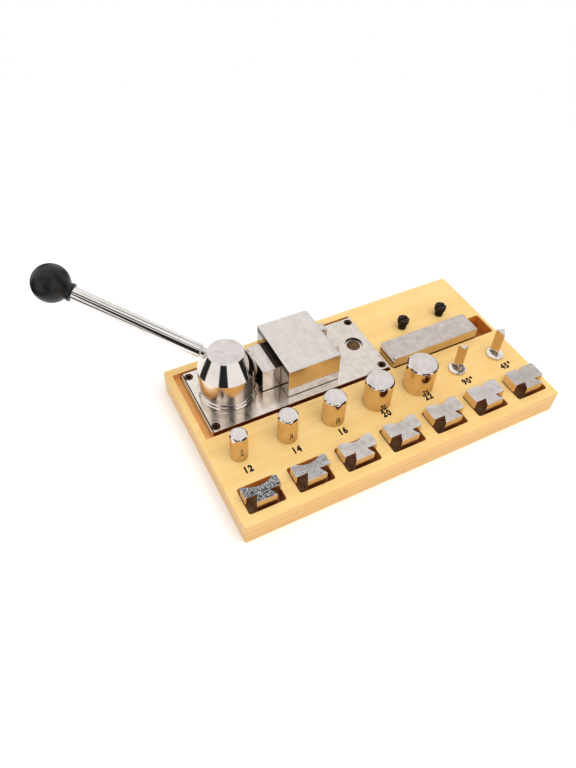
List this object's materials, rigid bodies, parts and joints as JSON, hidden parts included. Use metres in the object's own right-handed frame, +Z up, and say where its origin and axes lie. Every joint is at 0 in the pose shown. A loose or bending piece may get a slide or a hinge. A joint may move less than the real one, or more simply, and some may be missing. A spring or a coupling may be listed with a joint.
{
  "type": "ring bending machine",
  "caption": "Lever-operated bench bender for ring shanks: eccentric hub, sliding ram, interchangeable dies, mandrels and pointed pins on a wooden board.",
  "frame": {"origin": "centre of the wooden board's underside", "axes": "+X along the board's length, from the lever hub towards the tool socket; +Y away from the user, from the dies towards the machine; +Z up"},
  "size_m": [0.317, 0.2004, 0.0999],
  "materials": {
    "plywood": "varnished birch plywood, warm yellow-orange, satin",
    "nickel": "bright nickel plate, mirror-polished, with fine scratches",
    "ground_steel": "ground steel, fine grey grinding marks, bright sides",
    "black_oxide": "black oxide, satin",
    "bronze": "turned bearing bronze",
    "brass": "turned brass",
    "spring_steel": "oiled hardened steel",
    "black_plastic": "moulded phenolic, satin gloss"
  },
  "bodies": {
    "base": {"wood_base": "plywood", "machine_plate": "nickel", "plate_screw_1": "black_oxide", "plate_screw_2": "black_oxide", "plate_screw_3": "black_oxide", "plate_screw_4": "black_oxide", "guide_block": "ground_steel", "guide_screw_1": "black_oxide", "guide_screw_2": "black_oxide", "guide_screw_3": "black_oxide", "guide_screw_4": "black_oxide", "spring_stop_pin": "spring_steel", "return_spring": "spring_steel", "spindle_bush": "bronze"},
    "lever": {"cam_hub": "nickel", "hub_spindle": "spring_steel", "retaining_washer": "spring_steel", "retaining_screw": "black_oxide", "lever_rod": "nickel", "knob_insert": "brass", "ball_knob": "black_plastic"},
    "slider": {"ram": "ground_steel"},
    "mandrel_12_body": {"mandrel_12": "nickel"},
    "mandrel_14_body": {"mandrel_14": "nickel"},
    "mandrel_16_body": {"mandrel_16": "nickel"},
    "mandrel_20_body": {"mandrel_20": "nickel"},
    "mandrel_22_body": {"mandrel_22": "nickel"},
    "pin_90_body": {"pin_90": "nickel"},
    "pin_45_body": {"pin_45": "nickel"},
    "die_for_22_body": {"die_for_22": "ground_steel"},
    "die_for_20_body": {"die_for_20": "ground_steel"},
    "die_for_16_body": {"die_for_16": "ground_steel"},
    "die_for_14_body": {"die_for_14": "ground_steel"},
    "die_for_12_body": {"die_for_12": "ground_steel"},
    "die_90_body": {"die_90": "ground_steel"},
    "die_45_body": {"die_45": "ground_steel"},
    "flat_bar_body": {"flat_bar": "ground_steel"},
    "shoulder_screw_1_body": {"shoulder_screw_1": "black_oxide"},
    "shoulder_screw_2_body": {"shoulder_screw_2": "black_oxide"}
  },
  "joints": [
    {"name": "lever_swing", "type": "hinge", "parent": "base", "child": "lever", "pos_m": [-0.0863, 0.03465, 0.02], "axis": [0, 0, 1], "range_deg": [0, 130]},
    {"name": "ram_slide", "type": "slide", "parent": "base", "child": "slider", "axis": [1, 0, 0], "range_m": [0, 0.00575], "stiffness_N_per_m": 500, "springref_m": -0.004, "deforming": ["return_spring"]},
    {"name": "mandrel_12_lift", "type": "slide", "parent": "base", "child": "mandrel_12_body", "axis": [0, 0, 1], "range_m": [0, 0.014]},
    {"name": "mandrel_14_lift", "type": "slide", "parent": "base", "child": "mandrel_14_body", "axis": [0, 0, 1], "range_m": [0, 0.014]},
    {"name": "mandrel_16_lift", "type": "slide", "parent": "base", "child": "mandrel_16_body", "axis": [0, 0, 1], "range_m": [0, 0.014]},
    {"name": "mandrel_20_lift", "type": "slide", "parent": "base", "child": "mandrel_20_body", "axis": [0, 0, 1], "range_m": [0, 0.014]},
    {"name": "mandrel_22_lift", "type": "slide", "parent": "base", "child": "mandrel_22_body", "axis": [0, 0, 1], "range_m": [0, 0.014]},
    {"name": "pin_90_lift", "type": "slide", "parent": "base", "child": "pin_90_body", "axis": [0, 0, 1], "range_m": [0, 0.014]},
    {"name": "pin_45_lift", "type": "slide", "parent": "base", "child": "pin_45_body", "axis": [0, 0, 1], "range_m": [0, 0.014]},
    {"name": "die_for_22_lift", "type": "slide", "parent": "base", "child": "die_for_22_body", "axis": [0, 0, 1], "range_m": [0, 0.014]},
    {"name": "die_for_20_lift", "type": "slide", "parent": "base", "child": "die_for_20_body", "axis": [0, 0, 1], "range_m": [0, 0.014]},
    {"name": "die_for_16_lift", "type": "slide", "parent": "base", "child": "die_for_16_body", "axis": [0, 0, 1], "range_m": [0, 0.014]},
    {"name": "die_for_14_lift", "type": "slide", "parent": "base", "child": "die_for_14_body", "axis": [0, 0, 1], "range_m": [0, 0.014]},
    {"name": "die_for_12_lift", "type": "slide", "parent": "base", "child": "die_for_12_body", "axis": [0, 0, 1], "range_m": [0, 0.014]},
    {"name": "die_90_lift", "type": "slide", "parent": "base", "child": "die_90_body", "axis": [0, 0, 1], "range_m": [0, 0.014]},
    {"name": "die_45_lift", "type": "slide", "parent": "base", "child": "die_45_body", "axis": [0, 0, 1], "range_m": [0, 0.014]},
    {"name": "flat_bar_lift", "type": "slide", "parent": "base", "child": "flat_bar_body", "axis": [0, 0, 1], "range_m": [0, 0.014]},
    {"name": "shoulder_screw_1_lift", "type": "slide", "parent": "base", "child": "shoulder_screw_1_body", "axis": [0, 0, 1], "range_m": [0, 0.014]},
    {"name": "shoulder_screw_2_lift", "type": "slide", "parent": "base", "child": "shoulder_screw_2_body", "axis": [0, 0, 1], "range_m": [0, 0.014]}
  ],
  "couplings": [
    {"joint": "ram_slide", "follows": "lever_swing", "m_per_rad": 0.002534}
  ]
}
